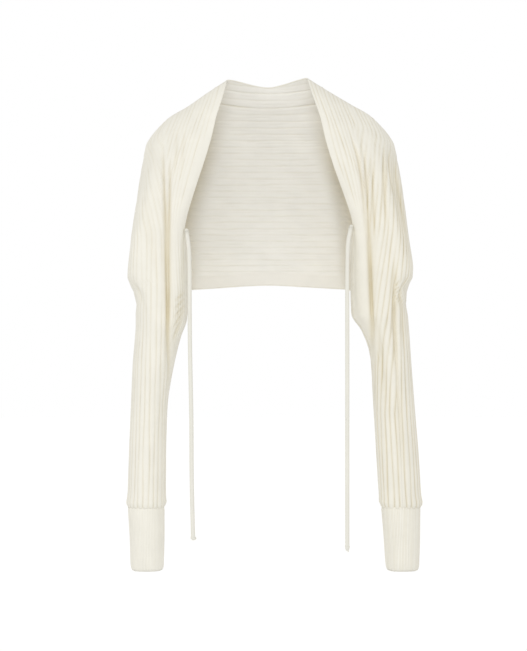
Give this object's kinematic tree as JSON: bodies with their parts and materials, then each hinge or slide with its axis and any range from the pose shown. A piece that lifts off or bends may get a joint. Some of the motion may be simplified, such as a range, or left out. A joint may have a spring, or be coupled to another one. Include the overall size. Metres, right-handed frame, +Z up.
{
  "type": "knitted shrug",
  "caption": "Cropped open-front shrug in ivory rib knit, in its worn, hollow form, with dolman sleeves, deep cuffs and hanging tie cords, to cover a wearer's shoulders and arms.",
  "frame": {"origin": "midway between the side-neck points, on the shoulder line, where the wearer's shoulders carry the garment", "axes": "+Z up, -Y out of the garment's front, +X to the wearer's left"},
  "size_m": [0.4698, 0.1925, 0.788],
  "materials": {
    "rib_knit": "matt ivory wide-rib knit",
    "fine_rib": "matt ivory fine double rib",
    "knitted_cord": "matt ivory tubular knit"
  },
  "bodies": {
    "root": {"back": "rib_knit", "front_sleeve_right": "rib_knit", "front_sleeve_left": "rib_knit", "sleeve_elbow_right": "rib_knit", "sleeve_elbow_left": "rib_knit", "sleeve_forearm_right": "rib_knit", "sleeve_forearm_left": "rib_knit", "cuff_right": "fine_rib", "cuff_left": "fine_rib", "tie_right": "knitted_cord", "tie_left": "knitted_cord"}
  },
  "joints": []
}
